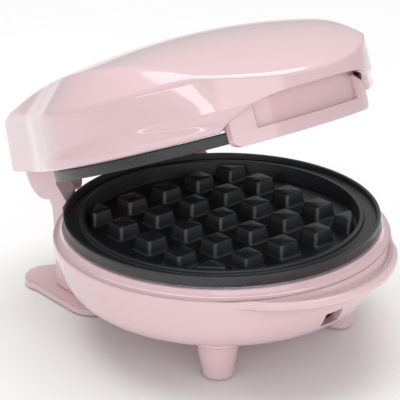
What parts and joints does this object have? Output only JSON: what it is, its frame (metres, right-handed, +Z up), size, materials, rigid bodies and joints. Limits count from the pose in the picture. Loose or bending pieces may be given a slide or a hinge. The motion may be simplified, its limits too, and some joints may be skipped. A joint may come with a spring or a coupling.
{
  "type": "waffle maker",
  "caption": "Small round pink waffle maker with a hinged domed lid, gridded non-stick plates, a front thumb ledge, legs and a rear foot for winding the lead.",
  "frame": {"origin": "centre of the object's bounding box, at the height of the table", "axes": "+X to the right as seen from the front, along the hinge; +Y from the front ledge to the hinge at the rear; +Z up"},
  "size_m": [0.1286, 0.1637, 0.1181],
  "materials": {
    "pink_plastic": "gloss moulded, pale pink",
    "nonstick_aluminium": "dark non-stick coating, satin",
    "rubber": "matte",
    "phenolic": "matte",
    "ceramic": "matte off-white",
    "sleeved_wire": "woven heat sleeve",
    "heater_tube": "dark oxidised",
    "zinc_steel": "zinc plated",
    "tinned_sheet": "tinned sheet"
  },
  "bodies": {
    "base": {"base_bowl": "pink_plastic", "base_frame": "pink_plastic", "rear_bracket": "pink_plastic", "cord_wrap_plate": "pink_plastic", "rubber_feet": "rubber", "cord_grommet": "rubber", "cord_clamp": "phenolic", "terminal_block": "ceramic", "base_leads": "sleeved_wire", "lower_plate": "nonstick_aluminium", "lower_element": "heater_tube", "lower_element_clamps": "zinc_steel", "lower_plate_screws": "zinc_steel", "lower_heat_shield": "tinned_sheet", "thermostat": "ceramic", "base_frame_screws": "zinc_steel", "bracket_screws": "zinc_steel", "wrap_plate_screws": "zinc_steel", "hinge_pin_left": "zinc_steel", "hinge_pin_right": "zinc_steel"},
    "lid": {"lid_shell": "pink_plastic", "lid_frame": "pink_plastic", "upper_plate": "nonstick_aluminium", "upper_element": "heater_tube", "upper_element_clamps": "zinc_steel", "upper_plate_screws": "zinc_steel", "upper_heat_shield": "tinned_sheet", "thermal_fuse": "tinned_sheet", "fuse_clip": "zinc_steel", "lid_leads": "sleeved_wire", "lid_screws": "zinc_steel"}
  },
  "joints": [
    {"name": "lid_hinge", "type": "hinge", "parent": "base", "child": "lid", "pos_m": [0, 0.061, 0.044], "axis": [-1, 0, 0], "range_deg": [-22.3, 72.7]}
  ]
}
